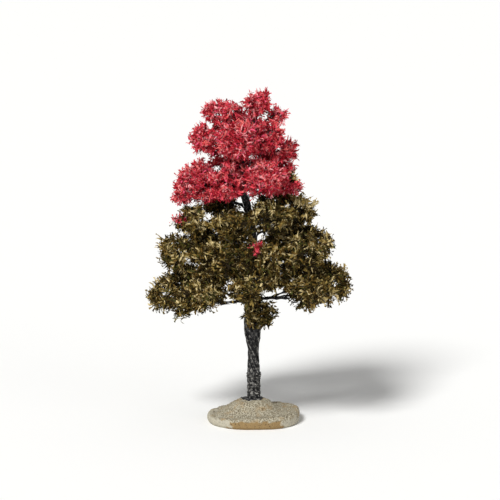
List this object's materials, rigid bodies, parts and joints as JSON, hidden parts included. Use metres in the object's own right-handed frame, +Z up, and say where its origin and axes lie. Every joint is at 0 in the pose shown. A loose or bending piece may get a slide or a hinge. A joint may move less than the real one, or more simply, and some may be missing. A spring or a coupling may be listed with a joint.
{
  "type": "model tree",
  "caption": "Small display model of a broadleaf tree: twisted black wire trunk and boughs, tiered foliage of dyed shavings, olive below and rose on top, on a low cast base.",
  "frame": {"origin": "on the flat underside of the base, under the middle of the trunk", "axes": "+Z up along the trunk, +X to the tree's right seen from its front, -Y towards the front"},
  "size_m": [0.0911, 0.0802, 0.1493],
  "materials": {
    "cast_base": "matt gritty sand-and-resin cast, beige-grey on top with pores, ochre stain and cream round the side wall",
    "wire_trunk": "satin black paint over tightly twisted thin steel wires, grey-white dust in the lower wraps",
    "wire_boughs": "satin black paint over twisted thin steel wires that fan out into the foliage",
    "olive_shavings": "loose curled shavings dyed olive, from pale straw to dark umber, matt",
    "rose_shavings": "loose curled shavings dyed rose, from coral pink to dark crimson, matt"
  },
  "bodies": {
    "root": {"base": "cast_base", "bough_middle_front": "wire_boughs", "bough_middle_left": "wire_boughs", "bough_middle_left_back": "wire_boughs", "bough_middle_left_front": "wire_boughs", "bough_middle_right": "wire_boughs", "bough_middle_right_back": "wire_boughs", "bough_middle_right_front": "wire_boughs", "bough_rose_lower_left": "wire_boughs", "bough_rose_lower_left_back": "wire_boughs", "bough_rose_lower_right": "wire_boughs", "bough_skirt_back": "wire_boughs", "bough_skirt_front": "wire_boughs", "bough_skirt_left": "wire_boughs", "bough_skirt_left_back": "wire_boughs", "bough_skirt_left_front": "wire_boughs", "bough_skirt_right": "wire_boughs", "bough_skirt_right_back": "wire_boughs", "bough_skirt_right_front": "wire_boughs", "bough_upper_left": "wire_boughs", "bough_upper_left_front": "wire_boughs", "bough_upper_right": "wire_boughs", "fork_tassel": "olive_shavings", "middle_front": "olive_shavings", "middle_left": "olive_shavings", "middle_left_back": "olive_shavings", "middle_left_front": "olive_shavings", "middle_right": "olive_shavings", "middle_right_back": "olive_shavings", "middle_right_front": "olive_shavings", "rose_lower_left": "rose_shavings", "rose_lower_left_back": "rose_shavings", "rose_lower_left_front": "rose_shavings", "rose_lower_right": "rose_shavings", "rose_lower_right_back": "rose_shavings", "rose_lower_right_front": "rose_shavings", "rose_middle_back": "rose_shavings", "rose_middle_front": "rose_shavings", "rose_middle_left": "rose_shavings", "rose_middle_right": "rose_shavings", "rose_middle_right_front": "rose_shavings", "rose_top_left": "rose_shavings", "rose_top_right": "rose_shavings", "rose_top_tip": "rose_shavings", "skirt_back": "olive_shavings", "skirt_front": "olive_shavings", "skirt_left": "olive_shavings", "skirt_left_back": "olive_shavings", "skirt_left_front": "olive_shavings", "skirt_right": "olive_shavings", "skirt_right_back": "olive_shavings", "skirt_right_front": "olive_shavings", "trunk": "wire_trunk", "upper_left": "olive_shavings", "upper_left_back": "olive_shavings", "upper_left_front": "olive_shavings", "upper_right": "olive_shavings", "upper_right_back": "olive_shavings", "upper_right_front": "olive_shavings"}
  },
  "joints": []
}
